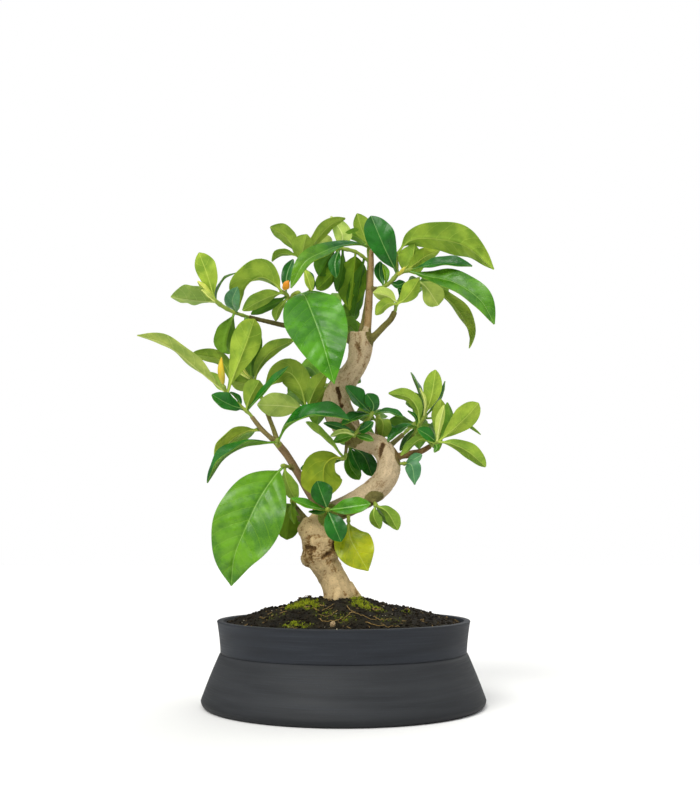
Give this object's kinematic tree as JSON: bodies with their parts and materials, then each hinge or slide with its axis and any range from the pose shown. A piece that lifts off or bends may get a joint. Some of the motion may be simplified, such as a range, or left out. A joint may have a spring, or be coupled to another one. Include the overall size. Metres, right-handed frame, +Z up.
{
  "type": "bonsai tree in a planter",
  "caption": "Small gardenia grown as a bonsai: a gnarled looping trunk with glossy green leaves, standing in soil in a round dark planter.",
  "frame": {"origin": "centre of the planter's flat underside, on the surface it stands on", "axes": "+Z up, -Y towards the pictured front, +X to the right as seen from the front"},
  "size_m": [0.2343, 0.18, 0.3262],
  "materials": {
    "slate": "matte dark slate grey, finely brushed",
    "soil": "dark potting soil of peat and bark, with moss",
    "bark": "pale rough bark",
    "leaf": "glossy green leaf",
    "yellow_leaf": "aged yellow leaf",
    "bud": "soft yellow bud"
  },
  "bodies": {
    "root": {"planter": "slate", "soil": "soil", "trunk": "bark", "spray_far_left": "leaf", "spray_upper_left": "leaf", "spray_upper_middle": "leaf", "spray_crown": "leaf", "spray_crown_low": "leaf", "spray_upper_right": "leaf", "spray_right_top": "leaf", "spray_left": "leaf", "spray_inner_left": "leaf", "spray_fork": "leaf", "leaf_left_arch": "leaf", "spray_middle_left": "leaf", "spray_back_middle": "leaf", "spray_low_left": "leaf", "spray_back_low": "leaf", "spray_front": "leaf", "spray_loop_low": "leaf", "leaf_shade": "leaf", "spray_pocket": "leaf", "spray_loop_back": "leaf", "spray_centre": "leaf", "spray_loop_top": "leaf", "spray_loop_right": "leaf", "spray_right": "leaf", "spray_right_upper": "leaf", "spray_back_right": "leaf", "leaf_yellow": "yellow_leaf", "bud_left": "bud", "bud_upper_left": "bud", "bud_upper_right": "bud"}
  },
  "joints": []
}
